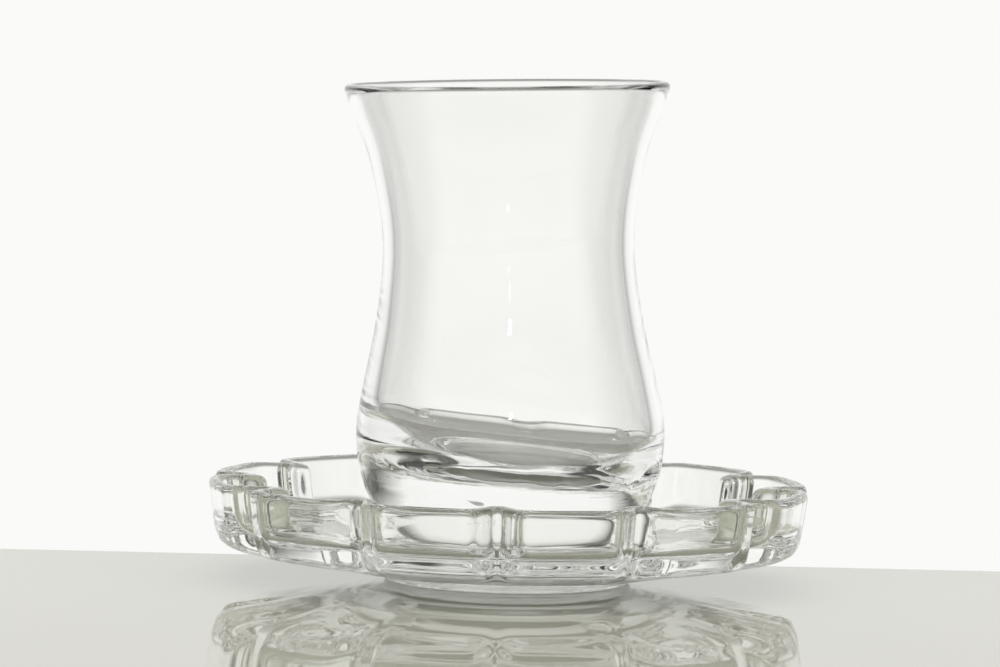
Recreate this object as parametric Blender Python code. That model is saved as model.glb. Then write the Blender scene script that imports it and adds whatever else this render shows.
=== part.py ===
"""Tea glass with a waist, standing in its pressed-glass saucer of twelve petals.

Metres, +Z up. The origin is on the table under the axis of the glass, and the
front of the pair faces -Y.
"""

from math import cos, pi, radians, sin, tan

import bmesh
import bpy
from mathutils import Vector

MM = 0.001

# Clearance between the glass and the saucer that it stands in
CLEARANCE = 0.3 * MM

# The glass: heights are above its own foot
GLASS_HEIGHT = 89.6 * MM
FOOT_RADIUS = 18.4 * MM
FOOT_ROUND = 0.8 * MM
RIM_RADIUS = 31.1 * MM
RIM_WALL = 2.3 * MM
WAIST_HEIGHT = 59.5 * MM
BULGE_HEIGHT = 23.2 * MM
BULGE_WALL = 3.1 * MM
GLASS_SECTORS = 48

# The glass leans a little to the left above its flat foot
GLASS_LEAN = radians(1.8)
LEAN_FULL_ABOVE = 12.0 * MM
GLASS_OFFSET = 0.7 * MM

# Height and radius of the outer wall from the foot to just under the rim
WALL_POINTS = (
    (0.8 * MM, 19.2 * MM),
    (4.5 * MM, 22.4 * MM),
    (8.9 * MM, 25.9 * MM),
    (13.7 * MM, 28.3 * MM),
    (BULGE_HEIGHT, 29.5 * MM),
    (32.7 * MM, 27.95 * MM),
    (44.2 * MM, 25.5 * MM),
    (WAIST_HEIGHT, 23.9 * MM),
    (75.0 * MM, 26.2 * MM),
    (86.7 * MM, 30.3 * MM),
    (GLASS_HEIGHT, RIM_RADIUS),
)

# The cavity: its floor slants down to the right and its bowl sits off centre
CAVITY_FLOOR = 15.2 * MM
CAVITY_ROUND = 11.0 * MM
CAVITY_SLANT = radians(5.2)
CAVITY_SHIFT = 0.6 * MM
SLANT_FULL_BELOW = 26.0 * MM
SLANT_GONE_ABOVE = 52.0 * MM

# The saucer: heights are above the table
SAUCER_HEIGHT = 19.2 * MM
SAUCER_RADIUS = 57.3 * MM
SAUCER_WALL = 2.4 * MM
SAUCER_WELL = 5.0 * MM
PETALS = 12
FRONT_GROOVE = radians(-92.4)
GROOVE_ROUND = 1.6 * MM
CORNER_ROUND = 4.7 * MM
INNER_RELIEF = 1.35
GROOVE_STEPS = 2
CORNER_STEPS = 3
FOOT_RING_RADIUS = 23.6 * MM
FOOT_RING_WIDTH = 2.8 * MM
FOOT_RING_RECESS = 1.3 * MM

CLEAR = (0.96, 0.97, 0.95, 1.0)
PRESSED = (0.94, 0.96, 0.93, 1.0)
GLASS_IOR = 1.52


def clear_scene():
    for item in list(bpy.data.objects):
        bpy.data.objects.remove(item)


def glass_material(name, colour, roughness):
    material = bpy.data.materials.new(name)
    material.use_nodes = True
    shader = material.node_tree.nodes["Principled BSDF"]
    shader.inputs["Base Color"].default_value = colour
    shader.inputs["Metallic"].default_value = 0.0
    shader.inputs["Roughness"].default_value = roughness
    shader.inputs["IOR"].default_value = GLASS_IOR
    shader.inputs["Transmission Weight"].default_value = 1.0
    return material


def smooth_step(value):
    value = min(max(value, 0.0), 1.0)
    return value * value * (3.0 - 2.0 * value)


def curve_slope(points, index):
    """Slope at one point of a curve, taken across its two neighbours."""
    before = points[max(index - 1, 0)]
    after = points[min(index + 1, len(points) - 1)]
    return (after[1] - before[1]) / (after[0] - before[0])


def wall_radius(height):
    """Outer radius of the glass at a height, on one smooth curve."""
    index = 0
    while index < len(WALL_POINTS) - 2 and height > WALL_POINTS[index + 1][0]:
        index += 1
    low, high = WALL_POINTS[index], WALL_POINTS[index + 1]
    span = high[0] - low[0]
    t = (height - low[0]) / span
    leave = curve_slope(WALL_POINTS, index) * span
    arrive = curve_slope(WALL_POINTS, index + 1) * span
    drop = low[1] - high[1]
    return low[1] + t * leave + t * t * (-3 * drop - 2 * leave - arrive) \
        + t ** 3 * (2 * drop + leave + arrive)


def wall_thickness(height):
    """The wall thickens from the waist down to the bulge."""
    thin = smooth_step((height - BULGE_HEIGHT) / (WAIST_HEIGHT - BULGE_HEIGHT))
    return BULGE_WALL + (RIM_WALL - BULGE_WALL) * thin


def spread(start, end, count):
    """Evenly spaced values from start to end, both included."""
    return [start + (end - start) * step / (count - 1) for step in range(count)]


def arc(centre, radius, start, end, count):
    """Points along an arc in the profile's plane, as radius and height."""
    return [(centre[0] + radius * cos(turn), centre[1] + radius * sin(turn))
            for turn in spread(radians(start), radians(end), count)]


def outer_profile():
    """From the middle of the foot up the outside to the rim."""
    profile = [(0.0, 0.0)]
    profile += arc((FOOT_RADIUS, FOOT_ROUND), FOOT_ROUND, -90, -20, 3)
    rim_start = GLASS_HEIGHT - RIM_WALL / 2
    for height in spread(3.0 * MM, rim_start - 2.0 * MM, 16):
        profile.append((wall_radius(height), height))
    return profile


def rim_profile():
    """The fire-polished rim, a half round from outside to inside."""
    middle = (RIM_RADIUS - RIM_WALL / 2, GLASS_HEIGHT - RIM_WALL / 2)
    return arc(middle, RIM_WALL / 2, 0, 180, 5)


def inner_profile():
    """From under the rim down the inside to the middle of the floor."""
    profile = []
    turn_height = CAVITY_FLOOR + CAVITY_ROUND
    for height in spread(GLASS_HEIGHT - 3.0 * MM, turn_height, 11):
        profile.append((wall_radius(height) - wall_thickness(height), height))
    wall = profile.pop()[0]
    profile += arc((wall - CAVITY_ROUND, turn_height), CAVITY_ROUND, 0, -90, 5)
    profile.append((0.0, CAVITY_FLOOR))
    return profile


def is_cavity(place):
    """Whether a point of the glass lies on the inner skin, near the floor."""
    reach = Vector((place.x, place.y)).length
    above_floor = place.z > CAVITY_FLOOR / 2
    return above_floor and reach < wall_radius(place.z) - RIM_WALL / 2


def lean_cavity(mesh):
    """Slants the floor and shifts the bowl, fading out towards the waist."""
    for vertex in mesh.verts:
        if not is_cavity(vertex.co):
            continue
        fade_span = SLANT_GONE_ABOVE - SLANT_FULL_BELOW
        amount = smooth_step((SLANT_GONE_ABOVE - vertex.co.z) / fade_span)
        vertex.co.z -= vertex.co.x * tan(CAVITY_SLANT) * amount
        vertex.co.x += CAVITY_SHIFT * amount


def lean_glass(mesh):
    """Tips the glass to the left above its foot, which stays flat in the well."""
    for vertex in mesh.verts:
        side, height = vertex.co.x, vertex.co.z
        turn = -GLASS_LEAN * smooth_step(height / LEAN_FULL_ABOVE)
        vertex.co.x = side * cos(turn) + height * sin(turn) + GLASS_OFFSET
        vertex.co.z = height * cos(turn) - side * sin(turn)


def new_object(name, mesh, material, sharp_angle):
    bmesh.ops.recalc_face_normals(mesh, faces=mesh.faces)
    data = bpy.data.meshes.new(name)
    mesh.to_mesh(data)
    mesh.free()
    data.materials.append(material)
    data.shade_smooth()
    data.set_sharp_from_angle(angle=sharp_angle)
    made = bpy.data.objects.new(name, data)
    bpy.context.collection.objects.link(made)
    return made


def tea_glass():
    mesh = bmesh.new()
    profile = outer_profile() + rim_profile() + inner_profile()
    points = [mesh.verts.new((radius, 0.0, height)) for radius, height in profile]
    edges = [mesh.edges.new(pair) for pair in zip(points, points[1:])]
    bmesh.ops.spin(mesh, geom=points + edges, cent=(0, 0, 0), axis=(0, 0, 1),
                   angle=2 * pi, steps=GLASS_SECTORS, use_merge=True)
    bmesh.ops.remove_doubles(mesh, verts=mesh.verts, dist=0.01 * MM)
    lean_cavity(mesh)
    lean_glass(mesh)
    made = new_object("glass", mesh, glass_material("clear_glass", CLEAR, 0.02), radians(50))
    made.location.z = SAUCER_WELL + CLEARANCE
    return made


def half_petal(inset):
    """Half a petal's edge from its groove to its middle.

    Each point is an angle from the groove and a depth below the petal's reach.
    A skin that lies inset deeper has a wider groove and tighter corners.
    """
    groove = GROOVE_ROUND + inset
    corner = CORNER_ROUND - inset
    points = []
    for turn in spread(0, pi / 2, GROOVE_STEPS + 1):
        points.append((groove * sin(turn), corner + groove * cos(turn)))
    for turn in spread(0, pi / 2, CORNER_STEPS + 1)[1:]:
        points.append((groove + corner * (1 - cos(turn)), corner * (1 - sin(turn))))
    return [(along / SAUCER_RADIUS, depth) for along, depth in points]


def petal_ring(reach, height, relief=1.0, inset=0.0):
    """One closed ring of the saucer; relief 0 is a circle, 1 has full petals."""
    half = half_petal(inset)
    petal_turn = 2 * pi / PETALS
    petal = half + [(petal_turn / 2, 0.0)]
    petal += [(petal_turn - turn, depth) for turn, depth in reversed(half[1:])]
    ring = []
    for number in range(PETALS):
        for turn, depth in petal:
            angle = FRONT_GROOVE + number * petal_turn + turn
            radius = reach - depth * relief
            ring.append(Vector((radius * cos(angle), radius * sin(angle), height)))
    return ring


def foot_rings():
    """Recess and foot ring under the saucer, all round."""
    inner = FOOT_RING_RADIUS - FOOT_RING_WIDTH
    return [
        petal_ring(inner - 1.4 * MM, FOOT_RING_RECESS, 0),
        petal_ring(inner, 0.4 * MM, 0),
        petal_ring(inner + 0.5 * MM, 0.0, 0),
        petal_ring(FOOT_RING_RADIUS - 0.5 * MM, 0.0, 0),
        petal_ring(FOOT_RING_RADIUS, 0.4 * MM, 0),
        petal_ring(FOOT_RING_RADIUS, 1.1 * MM, 0),
    ]


def outside_rings():
    """Underside and outer wall, where the petals grow out of a circle."""
    return [
        petal_ring(30.0 * MM, 2.1 * MM, 0),
        petal_ring(42.0 * MM, 4.3 * MM, 0),
        petal_ring(47.5 * MM, 5.2 * MM, 0.4),
        petal_ring(52.0 * MM, 5.9 * MM, 0.8),
        petal_ring(SAUCER_RADIUS - 2.8 * MM, 6.6 * MM, 0.95),
        petal_ring(SAUCER_RADIUS - 1.5 * MM, 8.4 * MM),
        petal_ring(SAUCER_RADIUS - 0.2 * MM, SAUCER_HEIGHT - 2.8 * MM),
        petal_ring(SAUCER_RADIUS, SAUCER_HEIGHT - 1.2 * MM),
        petal_ring(SAUCER_RADIUS - 0.6 * MM, SAUCER_HEIGHT - 0.2 * MM, inset=0.6 * MM),
    ]


def inside_rings():
    """Over the rim, down the inner wall and across the floor to the well."""
    inner = SAUCER_RADIUS - SAUCER_WALL
    return [
        petal_ring(SAUCER_RADIUS - 1.4 * MM, SAUCER_HEIGHT, 1.1, 1.4 * MM),
        petal_ring(inner - 0.2 * MM, SAUCER_HEIGHT - 1.0 * MM, INNER_RELIEF, SAUCER_WALL),
        petal_ring(inner - 0.5 * MM, SAUCER_HEIGHT - 4.0 * MM, INNER_RELIEF, SAUCER_WALL),
        petal_ring(inner - 1.3 * MM, 11.2 * MM, INNER_RELIEF, SAUCER_WALL),
        petal_ring(inner - 2.8 * MM, 10.0 * MM, INNER_RELIEF, SAUCER_WALL),
        petal_ring(49.5 * MM, 9.5 * MM, 1.05, SAUCER_WALL),
        petal_ring(45.0 * MM, 9.1 * MM, 0.5, SAUCER_WALL),
        petal_ring(38.0 * MM, 8.7 * MM, 0),
        petal_ring(31.0 * MM, 8.2 * MM, 0),
        petal_ring(27.5 * MM, 7.2 * MM, 0),
        petal_ring(25.3 * MM, 5.4 * MM, 0),
        petal_ring(23.0 * MM, SAUCER_WELL, 0),
    ]


def close_end(mesh, ring):
    """Fills a round end with a fan about its middle."""
    height = sum(vertex.co.z for vertex in ring) / len(ring)
    middle = mesh.verts.new((0.0, 0.0, height))
    for first, second in zip(ring, ring[1:] + ring[:1]):
        mesh.faces.new((middle, first, second))


def saucer():
    mesh = bmesh.new()
    rings = []
    for ring in foot_rings() + outside_rings() + inside_rings():
        rings.append([mesh.verts.new(place) for place in ring])
    for lower, upper in zip(rings, rings[1:]):
        for side in range(len(lower)):
            following = (side + 1) % len(lower)
            mesh.faces.new((lower[side], lower[following], upper[following], upper[side]))
    close_end(mesh, rings[0])
    close_end(mesh, rings[-1])
    return new_object("saucer", mesh, glass_material("pressed_glass", PRESSED, 0.03), radians(50))


def main():
    clear_scene()
    saucer()
    tea_glass()


main()
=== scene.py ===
"""Clear tea glass with a waist, standing in its pressed-glass saucer of twelve petals.

Everything is in metres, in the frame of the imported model: +Z up, the origin on
the table under the axis of the glass, and the front of the pair facing -Y.
"""

from math import atan2, cos, pi, radians, sin, tan

import bmesh
import bpy
from mathutils import Matrix, Vector


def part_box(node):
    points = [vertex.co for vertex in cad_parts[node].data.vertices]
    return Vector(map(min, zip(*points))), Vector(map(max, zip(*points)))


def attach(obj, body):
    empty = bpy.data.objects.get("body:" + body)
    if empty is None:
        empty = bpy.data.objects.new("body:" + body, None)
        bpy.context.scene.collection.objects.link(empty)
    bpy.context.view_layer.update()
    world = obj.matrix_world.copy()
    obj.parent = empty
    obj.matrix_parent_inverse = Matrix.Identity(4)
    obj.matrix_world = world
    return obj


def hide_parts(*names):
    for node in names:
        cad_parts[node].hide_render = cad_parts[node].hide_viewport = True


MM = 0.001

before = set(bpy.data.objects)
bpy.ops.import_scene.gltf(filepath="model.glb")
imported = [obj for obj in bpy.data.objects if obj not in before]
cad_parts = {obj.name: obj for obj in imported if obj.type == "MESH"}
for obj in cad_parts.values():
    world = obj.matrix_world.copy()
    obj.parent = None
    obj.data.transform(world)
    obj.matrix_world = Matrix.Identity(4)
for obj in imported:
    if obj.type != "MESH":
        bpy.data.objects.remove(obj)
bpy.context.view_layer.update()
glass_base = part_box("glass")[0].z

# Points of a mesh that lie this close are one point, and pieces are smoothed twice over
MERGE_WITHIN = 0.01 * MM
SMOOTHING = 2

# The glass, with heights above its own foot
GLASS_HEIGHT = 89.6 * MM
RIM_RADIUS = 31.1 * MM
RIM_WALL = 2.3 * MM
FOOT_RADIUS = 18.4 * MM
FOOT_ROUND = 0.8 * MM
WAIST_HEIGHT = 59.5 * MM
BULGE_HEIGHT = 23.2 * MM
BULGE_WALL = 3.1 * MM

# How finely the glass is drawn; the wall's rings stop short of the foot and the rim
GLASS_SECTORS = 64
OUTER_RINGS = 24
INNER_RINGS = 18
FLOOR_RINGS = 8
FOOT_TURN_RINGS = 3
RIM_TURN_RINGS = 5
CAVITY_TURN_RINGS = 7
RINGS_STOP = 3.0 * MM

# The glass leans a little to the left above its flat foot
GLASS_LEAN = radians(1.8)
LEAN_FULL_ABOVE = 12.0 * MM
GLASS_OFFSET = 0.7 * MM

# Height and radius of the outer wall, from just above the foot to the rim
WALL_POINTS = (
    (0.8 * MM, 19.2 * MM),
    (4.5 * MM, 22.4 * MM),
    (8.9 * MM, 25.9 * MM),
    (13.7 * MM, 28.3 * MM),
    (BULGE_HEIGHT, 29.5 * MM),
    (32.7 * MM, 27.95 * MM),
    (44.2 * MM, 25.5 * MM),
    (WAIST_HEIGHT, 23.9 * MM),
    (75.0 * MM, 26.2 * MM),
    (86.7 * MM, 30.3 * MM),
    (GLASS_HEIGHT, RIM_RADIUS),
)

# The cavity, whose floor slants down to the right and whose bowl sits off centre
CAVITY_FLOOR = 15.2 * MM
CAVITY_ROUND = 11.0 * MM
CAVITY_SLANT = radians(5.2)
CAVITY_SHIFT = 0.6 * MM
SLANT_FULL_BELOW = 26.0 * MM
SLANT_GONE_ABOVE = 52.0 * MM

# The uneven skin that the cool plunger leaves on the inner floor, outside its middle
CHILL_START = 10.0 * MM
CHILL_REACH = 25.0 * MM
CHILL_TOP = 27.0 * MM
CHILL_FADE = 5.0 * MM
CHILL_WIDTH = 3.2 * MM
CHILL_RELIEF = 0.22 * MM

# The saucer, with heights above the table
SAUCER_HEIGHT = 19.2 * MM
SAUCER_WELL = 5.0 * MM
SAUCER_RADIUS = 57.3 * MM
SAUCER_WALL = 2.4 * MM
PETALS = 12
COLUMNS_A_PETAL = 14
COLUMN_GATHER = 0.45
FRONT_GROOVE = radians(-92.4)
GROOVE_ROUND = 1.6 * MM
CORNER_ROUND = 4.7 * MM
INNER_RELIEF = 1.35
FOOT_RING_RADIUS = 23.6 * MM
FOOT_RING_WIDTH = 2.8 * MM
FOOT_RING_RECESS = 1.3 * MM

# How the saucer's two ends are closed: the share that each ring narrows to, and how
# near to its radius a point counts as part of the first ring
DISC_SHARES = (0.66, 0.5)
RING_TOLERANCE = 0.1 * MM

# The table's slab: its back edge runs under the back of the saucer, and its top lies
# a hair below the foot ring, so that the two faces don't coincide
TABLE_BACK = 36.0 * MM
TABLE_GAP = 0.05 * MM
TABLE_WIDTH = 1600 * MM
TABLE_DEPTH = 1200 * MM
TABLE_THICKNESS = 24 * MM
TABLE_EDGE = 1.5 * MM

# The camera of the photograph, held slightly askew
CAMERA_DISTANCE = 1050 * MM
CAMERA_HEIGHT = 120.5 * MM
CAMERA_SIDE = -2.4 * MM
CAMERA_PITCH = radians(4.0)
CAMERA_ROLL = radians(1.3)
LENS_MM = 199.3
SENSOR_MM = 36.0
SEES_FROM = 0.05
SEES_TO = 20

# The soft light over the table
SOFTBOX_WIDTH = 1400 * MM
SOFTBOX_HEIGHT = 1200 * MM
SOFTBOX_WATTS = 4.3

# A small lamp over the camera, which leaves the bright specks on the glass
LAMP_PLACE = (0.0, -1300 * MM, 392 * MM)
LAMP_WIDTH = 50 * MM
LAMP_WATTS = 0.6

# Brightness of the room's walls, by degrees away from straight behind the glass: a
# bright backdrop, dark flags beside it, and a bright room behind the camera
WALL_LIGHT = ((0, 0.97), (33, 0.97), (44, 0.4), (50, 0.05), (90, 0.05), (112, 0.9), (180, 0.97))

# How much of that is left, from straight down, 0, to straight up, 1
HEIGHT_LIGHT = ((0.0, 0.35), (0.25, 0.35), (0.35, 1.0), (0.74, 1.0), (0.86, 0.55), (1.0, 0.45))

# The shadows are warmer than the lights: blue over red in the dark, and what light adds
DARK_BLUE = 0.95
BLUE_GAIN = 0.045

# What the camera sees behind the glass, and how often light may pass or bounce off glass
BACKDROP_COLOUR = "#FAFAF8"
GLASS_BOUNCES = 64
BOARD_BOUNCES = 3

# Glass surfaces: the faint tints, and each pattern's width and how deep it is
GLASS_IOR = 1.52
BLOWN_TINT = "#FEFEFD"
PRESSED_TINT = "#FCFDFA"
BLOWN_WAVE = 16.0 * MM
BLOWN_RELIEF = 0.03 * MM
MOULD_WAVE = 7.0 * MM
MOULD_RELIEF = 0.02 * MM
MOULD_PEEL = 1.5 * MM
PEEL_RELIEF = 0.001 * MM

# The board's lacquer and the clouding of its grey
LACQUER_IOR = 1.5
LACQUER_ROUGHNESS = 0.02
LACQUER_WAVE = 60.0 * MM
LACQUER_RELIEF = 0.02 * MM
BOARD_DARKER = "#DAD9C8"
BOARD_LIGHTER = "#DFDECF"
BOARD_CLOUD = 45.0 * MM


def linear(hex_colour):
    """An sRGB hex colour as linear red, green, blue and alpha."""
    channels = []
    for start in (1, 3, 5):
        value = int(hex_colour[start:start + 2], 16) / 255
        channels.append(value / 12.92 if value <= 0.04045 else ((value + 0.055) / 1.055) ** 2.4)
    return (*channels, 1.0)


def add_node(tree, kind, settings=None, inputs=None, links=None):
    """Adds one node with its settings, its input values and its input links."""
    node = tree.nodes.new(kind)
    for name, value in (settings or {}).items():
        setattr(node, name, value)
    for socket, value in (inputs or {}).items():
        node.inputs[socket].default_value = value
    for socket, source in (links or {}).items():
        tree.links.new(source, node.inputs[socket])
    return node


def new_material(name):
    """A material with its node tree and the shader in it."""
    material = bpy.data.materials.new(name)
    material.use_nodes = True
    return material, material.node_tree, material.node_tree.nodes["Principled BSDF"]


def clear_glass(name, colour):
    """Soda-lime glass that light passes through, its constants on the shader itself."""
    material, tree, shader = new_material(name)
    shader.inputs["Base Color"].default_value = linear(colour)
    shader.inputs["Roughness"].default_value = 0.0
    shader.inputs["IOR"].default_value = GLASS_IOR
    shader.inputs["Transmission Weight"].default_value = 1.0
    return material, tree, shader


def uneven_skin(tree, shader, patterns):
    """Bumps the surface by noise patterns, each a width and a relief in metres."""
    place = add_node(tree, "ShaderNodeTexCoord")
    normal = None
    for width, relief in patterns:
        noise = add_node(tree, "ShaderNodeTexNoise", inputs={"Scale": 1 / width, "Detail": 1.0},
                         links={"Vector": place.outputs["Object"]})
        links = {"Height": noise.outputs["Fac"]}
        if normal:
            links["Normal"] = normal
        bump = add_node(tree, "ShaderNodeBump", inputs={"Distance": relief}, links=links)
        normal = bump.outputs["Normal"]
    tree.links.new(normal, shader.inputs["Normal"])
    return place


def fire_polished_glass():
    """Blown and fire-polished: mirror smooth, with the long faint waves of blown walls."""
    material, tree, shader = clear_glass("fire_polished_soda_lime_glass", BLOWN_TINT)
    uneven_skin(tree, shader, [(BLOWN_WAVE, BLOWN_RELIEF)])
    return material


def pressed_glass():
    """Pressed in a mould: as glossy, but with the uneven skin that the mould's walls leave."""
    material, tree, shader = clear_glass("pressed_soda_lime_glass", PRESSED_TINT)
    uneven_skin(tree, shader, [(MOULD_WAVE, MOULD_RELIEF), (MOULD_PEEL, PEEL_RELIEF)])
    return material


def lacquered_board():
    """Pale grey board under clear polished lacquer: it mirrors what stands on it."""
    material, tree, shader = new_material("polished_pale_grey_lacquer")
    shader.inputs["Roughness"].default_value = LACQUER_ROUGHNESS
    shader.inputs["IOR"].default_value = LACQUER_IOR
    place = uneven_skin(tree, shader, [(LACQUER_WAVE, LACQUER_RELIEF)])
    clouds = add_node(tree, "ShaderNodeTexNoise", inputs={"Scale": 1 / BOARD_CLOUD, "Detail": 3.0},
                      links={"Vector": place.outputs["Object"]})
    tone = add_node(tree, "ShaderNodeMix", {"data_type": "RGBA"},
                    {6: linear(BOARD_DARKER), 7: linear(BOARD_LIGHTER)},
                    {0: clouds.outputs["Fac"]})
    tree.links.new(tone.outputs[2], shader.inputs["Base Color"])
    return material


def smooth_step(value):
    """Eases from 0 to 1, level at both ends."""
    value = min(max(value, 0.0), 1.0)
    return value * value * (3.0 - 2.0 * value)


def spread(start, end, count):
    """Evenly spaced values from start to end, both included."""
    return [start + (end - start) * step / (count - 1) for step in range(count)]


def arc(centre, radius, start, end, count):
    """Points along an arc in the profile's plane, as radius and height."""
    return [(centre[0] + radius * cos(turn), centre[1] + radius * sin(turn))
            for turn in spread(radians(start), radians(end), count)]


def curve_slope(points, index):
    """Slope at one point of a curve, taken across its two neighbours."""
    before = points[max(index - 1, 0)]
    after = points[min(index + 1, len(points) - 1)]
    return (after[1] - before[1]) / (after[0] - before[0])


def wall_radius(height):
    """Outer radius of the glass at a height, on one smooth curve."""
    index = 0
    while index < len(WALL_POINTS) - 2 and height > WALL_POINTS[index + 1][0]:
        index += 1
    low, high = WALL_POINTS[index], WALL_POINTS[index + 1]
    span = high[0] - low[0]
    t = (height - low[0]) / span
    leave = curve_slope(WALL_POINTS, index) * span
    arrive = curve_slope(WALL_POINTS, index + 1) * span
    drop = low[1] - high[1]
    return low[1] + t * leave + t * t * (-3 * drop - 2 * leave - arrive) \
        + t ** 3 * (2 * drop + leave + arrive)


def wall_thickness(height):
    """The wall thickens from the waist down to the bulge."""
    thin = smooth_step((height - BULGE_HEIGHT) / (WAIST_HEIGHT - BULGE_HEIGHT))
    return BULGE_WALL + (RIM_WALL - BULGE_WALL) * thin


def outer_profile():
    """From the middle of the foot up the outside to the rim."""
    profile = [(0.0, 0.0), (FOOT_RADIUS * 0.5, 0.0), (FOOT_RADIUS * 0.92, 0.0)]
    profile += arc((FOOT_RADIUS, FOOT_ROUND), FOOT_ROUND, -90, -20, FOOT_TURN_RINGS)
    for height in spread(RINGS_STOP, GLASS_HEIGHT - RINGS_STOP, OUTER_RINGS):
        profile.append((wall_radius(height), height))
    return profile


def rim_profile():
    """The fire-polished rim, a half round from outside to inside."""
    middle = (RIM_RADIUS - RIM_WALL / 2, GLASS_HEIGHT - RIM_WALL / 2)
    return arc(middle, RIM_WALL / 2, 0, 180, RIM_TURN_RINGS)


def inner_profile():
    """From under the rim down the inside to the middle of the floor."""
    profile = []
    turn_height = CAVITY_FLOOR + CAVITY_ROUND
    for height in spread(GLASS_HEIGHT - RINGS_STOP, turn_height, INNER_RINGS):
        profile.append((wall_radius(height) - wall_thickness(height), height))
    wall = profile.pop()[0]
    floor = wall - CAVITY_ROUND
    profile += arc((floor, turn_height), CAVITY_ROUND, 0, -90, CAVITY_TURN_RINGS)
    profile += [(reach, CAVITY_FLOOR) for reach in spread(floor, 0.0, FLOOR_RINGS)[1:]]
    return profile


def deselect_all():
    """Leaves no object selected, so that the next step takes only its own."""
    bpy.ops.object.select_all(action="DESELECT")


def start_piece(name):
    """Names the primitive just added and opens it in edit mode."""
    piece = bpy.context.object
    piece.name = name
    piece.data.name = name
    bpy.ops.object.mode_set(mode="EDIT")
    bpy.ops.mesh.select_all(action="DESELECT")
    bpy.ops.mesh.select_mode(type="VERT")
    return piece


def select_verts(piece, wanted):
    """Selects just the vertices of the open piece for which wanted is true."""
    mesh = bmesh.from_edit_mesh(piece.data)
    for vertex in mesh.verts:
        vertex.select_set(False)
    for vertex in mesh.verts:
        if wanted(vertex.co):
            vertex.select_set(True)
    mesh.select_flush_mode()
    bmesh.update_edit_mesh(piece.data)


def apply_modifier(piece, kind, **settings):
    """Adds a modifier with its settings and works it into the mesh."""
    modifier = piece.modifiers.new(kind.title(), kind)
    for name, value in settings.items():
        setattr(modifier, name, value)
    bpy.ops.object.modifier_apply(modifier=modifier.name)


def finish_piece(piece, material):
    """Closes the edit, smooths the surface and gives the piece its material."""
    bpy.ops.mesh.select_all(action="SELECT")
    bpy.ops.mesh.remove_doubles(threshold=MERGE_WITHIN)
    bpy.ops.mesh.normals_make_consistent(inside=False)
    bpy.ops.object.mode_set(mode="OBJECT")
    apply_modifier(piece, "SUBSURF", levels=SMOOTHING, render_levels=SMOOTHING)
    bpy.ops.object.transform_apply(location=True, rotation=True, scale=True)
    bpy.ops.object.shade_smooth()
    piece.data.materials.clear()
    piece.data.materials.append(material)
    deselect_all()
    return piece


def turn_profile(name, profile, base, sectors):
    """Draws a profile as a chain of edges at +X and spins it round the axis.

    The chain is drawn out from one corner of a small primitive; the others go.
    """
    deselect_all()
    bpy.ops.mesh.primitive_circle_add(vertices=3, radius=RIM_WALL, location=(0, 0, 0))
    piece = start_piece(name)
    mesh = bmesh.from_edit_mesh(piece.data)
    first, *others = list(mesh.verts)
    bmesh.ops.delete(mesh, geom=others)
    first.co = (profile[0][0], 0.0, base + profile[0][1])
    first.select_set(True)
    bmesh.update_edit_mesh(piece.data)
    for start, end in zip(profile, profile[1:]):
        step = (end[0] - start[0], 0.0, end[1] - start[1])
        bpy.ops.mesh.extrude_vertices_move(TRANSFORM_OT_translate={"value": step})
    bpy.ops.mesh.select_all(action="SELECT")
    bpy.ops.mesh.spin(steps=sectors, angle=2 * pi, center=(0, 0, 0), axis=(0, 0, 1))
    bpy.ops.mesh.select_all(action="SELECT")
    bpy.ops.mesh.remove_doubles(threshold=MERGE_WITHIN)
    return piece


def lean_cavity(piece, base):
    """Slants the floor and shifts the bowl, fading out towards the waist."""
    mesh = bmesh.from_edit_mesh(piece.data)
    for vertex in mesh.verts:
        height = vertex.co.z - base
        reach = Vector((vertex.co.x, vertex.co.y)).length
        if height < CAVITY_FLOOR / 2 or reach > wall_radius(height) - RIM_WALL / 2:
            continue
        amount = smooth_step((SLANT_GONE_ABOVE - height) / (SLANT_GONE_ABOVE - SLANT_FULL_BELOW))
        vertex.co.z -= vertex.co.x * tan(CAVITY_SLANT) * amount
        vertex.co.x += CAVITY_SHIFT * amount
    bmesh.update_edit_mesh(piece.data)


def lean_glass(piece, base):
    """Tips the glass to the left above its foot, which stays flat in the well."""
    mesh = bmesh.from_edit_mesh(piece.data)
    for vertex in mesh.verts:
        side, height = vertex.co.x, vertex.co.z - base
        turn = -GLASS_LEAN * smooth_step(height / LEAN_FULL_ABOVE)
        vertex.co.x = side * cos(turn) + height * sin(turn) + GLASS_OFFSET
        vertex.co.z = base + height * cos(turn) - side * sin(turn)
    bmesh.update_edit_mesh(piece.data)


def chill_floor(piece, base):
    """Makes the inner floor gently uneven, fading out up the wall."""
    group = piece.vertex_groups.new(name="inner_floor")
    for vertex in piece.data.vertices:
        height = vertex.co.z - base
        reach = Vector((vertex.co.x, vertex.co.y)).length
        if height < CAVITY_FLOOR / 2 or reach > CHILL_REACH:
            continue
        weight = smooth_step((CHILL_TOP - height) / CHILL_FADE)
        weight *= smooth_step((CHILL_REACH - reach) / CHILL_FADE)
        weight *= smooth_step((reach - CHILL_START) / CHILL_FADE)
        group.add([vertex.index], weight, "REPLACE")
    clouds = bpy.data.textures.new("plunger_chill", "CLOUDS")
    clouds.noise_scale = CHILL_WIDTH
    clouds.noise_depth = 1
    apply_modifier(piece, "DISPLACE", texture=clouds, texture_coords="LOCAL",
                   strength=CHILL_RELIEF, mid_level=0.5, vertex_group=group.name)


def tea_glass(material):
    """Turned as one closed wall, then leaned, smoothed and given its uneven floor."""
    profile = outer_profile() + rim_profile() + inner_profile()
    piece = turn_profile("tea_glass", profile, glass_base, GLASS_SECTORS)
    lean_cavity(piece, glass_base)
    lean_glass(piece, glass_base)
    finish_piece(piece, material)
    chill_floor(piece, glass_base)
    return piece


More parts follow.
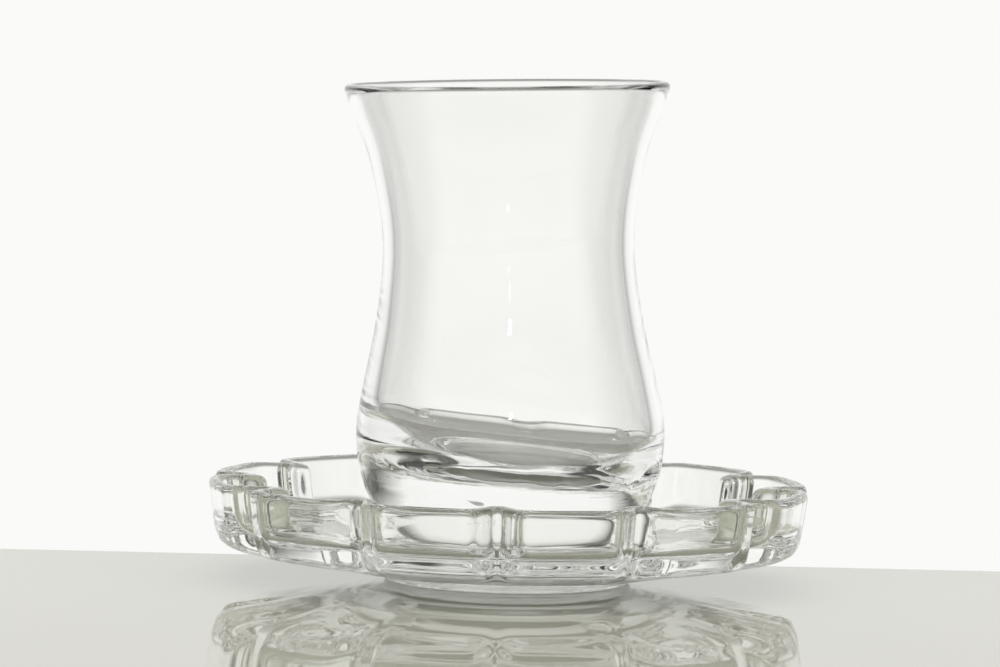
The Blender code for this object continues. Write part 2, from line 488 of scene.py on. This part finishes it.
def groove_depth(along, inset):
    """How far a petal's edge drops, at a distance along it from the groove."""
    groove = GROOVE_ROUND + inset
    corner = CORNER_ROUND - inset
    if along < groove:
        return corner + (groove * groove - along * along) ** 0.5
    if along < groove + corner:
        return corner - (corner * corner - (groove + corner - along) ** 2) ** 0.5
    return 0.0


def saucer_levels():
    """Reach, height, relief and inset of each ring from the recess to the well."""
    foot_inner = FOOT_RING_RADIUS - FOOT_RING_WIDTH
    inner = SAUCER_RADIUS - SAUCER_WALL
    top = SAUCER_HEIGHT
    foot = [
        (foot_inner - 1.4 * MM, FOOT_RING_RECESS, 0, 0),
        (foot_inner - 0.3 * MM, 0.6 * MM, 0, 0),
        (foot_inner + 0.3 * MM, 0.0, 0, 0),
        (FOOT_RING_RADIUS - 0.4 * MM, 0.0, 0, 0),
        (FOOT_RING_RADIUS, 0.4 * MM, 0, 0),
        (FOOT_RING_RADIUS, 1.0 * MM, 0, 0),
    ]
    outside = [
        (25.5 * MM, 1.4 * MM, 0, 0),
        (30.0 * MM, 2.1 * MM, 0, 0),
        (36.0 * MM, 3.2 * MM, 0, 0),
        (42.0 * MM, 4.3 * MM, 0.1, 0),
        (47.5 * MM, 5.2 * MM, 0.4, 0),
        (52.0 * MM, 5.9 * MM, 0.8, 0),
        (SAUCER_RADIUS - 2.8 * MM, 6.6 * MM, 0.95, 0),
        (SAUCER_RADIUS - 1.6 * MM, 8.1 * MM, 1, 0),
        (SAUCER_RADIUS - 1.0 * MM, 11.0 * MM, 1, 0),
        (SAUCER_RADIUS - 0.2 * MM, top - 2.6 * MM, 1, 0),
        (SAUCER_RADIUS, top - 1.2 * MM, 1, 0),
        (SAUCER_RADIUS - 0.5 * MM, top - 0.2 * MM, 1, 0.5 * MM),
    ]
    inside = [
        (SAUCER_RADIUS - 1.3 * MM, top, 1.1, 1.3 * MM),
        (inner - 0.1 * MM, top - 0.6 * MM, INNER_RELIEF, SAUCER_WALL),
        (inner - 0.3 * MM, top - 2.4 * MM, INNER_RELIEF, SAUCER_WALL),
        (inner - 0.8 * MM, 13.2 * MM, INNER_RELIEF, SAUCER_WALL),
        (inner - 1.3 * MM, 11.2 * MM, INNER_RELIEF, SAUCER_WALL),
        (inner - 2.8 * MM, 10.0 * MM, INNER_RELIEF, SAUCER_WALL),
        (49.5 * MM, 9.5 * MM, 1.05, SAUCER_WALL),
        (45.0 * MM, 9.1 * MM, 0.5, SAUCER_WALL),
        (38.0 * MM, 8.7 * MM, 0.1, SAUCER_WALL),
        (31.0 * MM, 8.2 * MM, 0, 0),
        (27.5 * MM, 7.2 * MM, 0, 0),
        (25.3 * MM, 5.4 * MM, 0, 0),
        (23.0 * MM, SAUCER_WELL, 0, 0),
    ]
    return foot + outside + inside


def gather_columns(piece):
    """Moves the circle's points closer together beside each groove."""
    half = pi / PETALS
    mesh = bmesh.from_edit_mesh(piece.data)
    for vertex in mesh.verts:
        reach = Vector((vertex.co.x, vertex.co.y)).length
        turn = atan2(vertex.co.y, vertex.co.x) - FRONT_GROOVE
        groove = round(turn / (2 * half)) * 2 * half
        share = (turn - groove) / half
        share *= 1.0 - COLUMN_GATHER + COLUMN_GATHER * abs(share)
        angle = FRONT_GROOVE + groove + share * half
        vertex.co.x = reach * cos(angle)
        vertex.co.y = reach * sin(angle)
    bmesh.update_edit_mesh(piece.data)


def push_in_grooves(piece, level):
    """Pulls the groove columns of the ring just drawn in towards the axis."""
    reach, _, relief, inset = level
    petal_turn = 2 * pi / PETALS
    mesh = bmesh.from_edit_mesh(piece.data)
    for vertex in mesh.verts:
        if not vertex.select:
            continue
        angle = (atan2(vertex.co.y, vertex.co.x) - FRONT_GROOVE) % petal_turn
        along = min(angle, petal_turn - angle) * SAUCER_RADIUS
        factor = (reach - groove_depth(along, inset) * relief) / reach
        vertex.co.x *= factor
        vertex.co.y *= factor
    bmesh.update_edit_mesh(piece.data)


def petal_saucer(material):
    """Drawn ring by ring, from the recess under the foot over the edge to the well."""
    columns = PETALS * COLUMNS_A_PETAL
    levels = saucer_levels()
    reach, height = levels[0][:2]
    deselect_all()
    bpy.ops.mesh.primitive_circle_add(vertices=columns, radius=reach, fill_type="NOTHING",
                                      location=(0, 0, height), rotation=(0, 0, FRONT_GROOVE))
    bpy.ops.object.transform_apply(location=True, rotation=True, scale=True)
    piece = start_piece("petal_saucer")
    gather_columns(piece)
    bpy.ops.mesh.select_all(action="SELECT")
    close_disc()
    select_verts(piece, lambda place: abs(place.xy.length - reach) < RING_TOLERANCE)
    for before, level in zip(levels, levels[1:]):
        bpy.ops.mesh.extrude_region_move(
            TRANSFORM_OT_translate={"value": (0, 0, level[1] - before[1])})
        round_ring(piece, level[0])
        push_in_grooves(piece, level)
    close_disc()
    return finish_piece(piece, material)


def round_ring(piece, reach):
    """Sets the selected ring back to a plain circle of one radius."""
    mesh = bmesh.from_edit_mesh(piece.data)
    for vertex in mesh.verts:
        if vertex.select:
            factor = reach / Vector((vertex.co.x, vertex.co.y)).length
            vertex.co.x *= factor
            vertex.co.y *= factor
    bmesh.update_edit_mesh(piece.data)


def close_disc():
    """Fills the selected ring with rings that narrow to its middle."""
    for share in DISC_SHARES:
        bpy.ops.mesh.extrude_region_move()
        bpy.ops.transform.resize(value=(share, share, 1.0))
    bpy.ops.mesh.extrude_region_move()
    bpy.ops.mesh.merge(type="CENTER")


def table_slab(material):
    """A thick board that carries the foot ring; the saucer's back hangs past its edge."""
    deselect_all()
    centre_y = TABLE_BACK - TABLE_DEPTH / 2
    centre_z = -TABLE_THICKNESS / 2 - TABLE_GAP
    bpy.ops.mesh.primitive_cube_add(size=1.0, location=(0, centre_y, centre_z),
                                    scale=(TABLE_WIDTH, TABLE_DEPTH, TABLE_THICKNESS))
    bpy.ops.object.transform_apply(location=True, rotation=True, scale=True)
    board = bpy.context.object
    board.name = "table_slab"
    apply_modifier(board, "BEVEL", width=TABLE_EDGE, segments=3)
    board.data.materials.append(material)
    deselect_all()
    return board


def studio_world():
    """The room that the glass shows; the camera itself sees a plain backdrop."""
    world = bpy.data.worlds.new("studio")
    bpy.context.scene.world = world
    world.use_nodes = True
    tree = world.node_tree
    tree.nodes.clear()
    place = add_node(tree, "ShaderNodeTexCoord")
    axes = add_node(tree, "ShaderNodeSeparateXYZ", links={"Vector": place.outputs["Generated"]})
    side = add_node(tree, "ShaderNodeMath", {"operation": "ABSOLUTE"}, links={0: axes.outputs["X"]})
    turn = add_node(tree, "ShaderNodeMath", {"operation": "ARCTAN2"},
                    links={0: side.outputs[0], 1: axes.outputs["Y"]})
    share = add_node(tree, "ShaderNodeMath", {"operation": "DIVIDE"}, {1: pi},
                     {0: turn.outputs[0]})
    walls = add_node(tree, "ShaderNodeValToRGB", links={"Fac": share.outputs[0]})
    fill_ramp(walls, [(degrees / 180, light) for degrees, light in WALL_LIGHT])
    rise = add_node(tree, "ShaderNodeMath", {"operation": "MULTIPLY_ADD"}, {1: 0.5, 2: 0.5},
                    {0: axes.outputs["Z"]})
    roof = add_node(tree, "ShaderNodeValToRGB", links={"Fac": rise.outputs[0]})
    fill_ramp(roof, HEIGHT_LIGHT)
    both = add_node(tree, "ShaderNodeMix", {"data_type": "RGBA", "blend_type": "MULTIPLY"},
                    {0: 1.0}, {6: walls.outputs["Color"], 7: roof.outputs["Color"]})
    room = add_node(tree, "ShaderNodeBackground", links={"Color": both.outputs[2]})
    plain = add_node(tree, "ShaderNodeBackground", inputs={"Color": linear(BACKDROP_COLOUR)})
    path = add_node(tree, "ShaderNodeLightPath")
    mixed = add_node(tree, "ShaderNodeMixShader", links={
        0: path.outputs["Is Camera Ray"], 1: room.outputs[0], 2: plain.outputs[0]})
    add_node(tree, "ShaderNodeOutputWorld", links={"Surface": mixed.outputs[0]})


def fill_ramp(node, stops):
    """Sets a colour ramp to greys, each a place and a brightness, warmer where dark."""
    ramp = node.color_ramp
    while len(ramp.elements) < len(stops):
        ramp.elements.new(1.0)
    for element, (place, value) in zip(ramp.elements, stops):
        element.position = place
        element.color = (value, value, value * (DARK_BLUE + BLUE_GAIN * value), 1.0)


def overhead_softbox():
    """A wide soft light over the table; it lights the board, and glass doesn't show it."""
    data = bpy.data.lights.new("overhead_softbox", "AREA")
    data.shape = "RECTANGLE"
    data.size = SOFTBOX_WIDTH
    data.size_y = SOFTBOX_WIDTH
    data.energy = SOFTBOX_WATTS
    softbox = bpy.data.objects.new("overhead_softbox", data)
    bpy.context.collection.objects.link(softbox)
    softbox.location = (0, 0, SOFTBOX_HEIGHT)
    softbox.visible_glossy = False
    softbox.visible_transmission = False
    softbox.visible_camera = False


def camera_lamp():
    """A small bright lamp whose mirror image shows as specks down the glass."""
    data = bpy.data.lights.new("camera_lamp", "AREA")
    data.size = LAMP_WIDTH
    data.energy = LAMP_WATTS
    lamp = bpy.data.objects.new("camera_lamp", data)
    bpy.context.collection.objects.link(lamp)
    lamp.location = LAMP_PLACE
    lamp.rotation_euler = Vector(LAMP_PLACE).to_track_quat("Z", "Y").to_euler()
    lamp.visible_transmission = False
    lamp.visible_camera = False


def photo_camera():
    """A long lens from the front, a little above the rim."""
    data = bpy.data.cameras.new("camera")
    data.lens = LENS_MM
    data.sensor_width = SENSOR_MM
    data.clip_start = SEES_FROM
    data.clip_end = SEES_TO
    camera = bpy.data.objects.new("camera", data)
    bpy.context.collection.objects.link(camera)
    camera.location = (CAMERA_SIDE, -CAMERA_DISTANCE, CAMERA_HEIGHT)
    aim = Matrix.Rotation(pi / 2 - CAMERA_PITCH, 3, "X") @ Matrix.Rotation(CAMERA_ROLL, 3, "Z")
    camera.rotation_euler = aim.to_euler()
    bpy.context.scene.camera = camera


def picture_settings():
    """Plain display colours, and enough bounces to see through two walls of glass."""
    scene = bpy.context.scene
    scene.view_settings.view_transform = "Standard"
    scene.cycles.max_bounces = GLASS_BOUNCES
    scene.cycles.transmission_bounces = GLASS_BOUNCES
    scene.cycles.glossy_bounces = GLASS_BOUNCES
    scene.cycles.diffuse_bounces = BOARD_BOUNCES


glass = tea_glass(fire_polished_glass())
saucer = petal_saucer(pressed_glass())
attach(glass, "root")
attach(saucer, "root")
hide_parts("glass")
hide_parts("saucer")
table_slab(lacquered_board())
studio_world()
overhead_softbox()
camera_lamp()
photo_camera()
picture_settings()
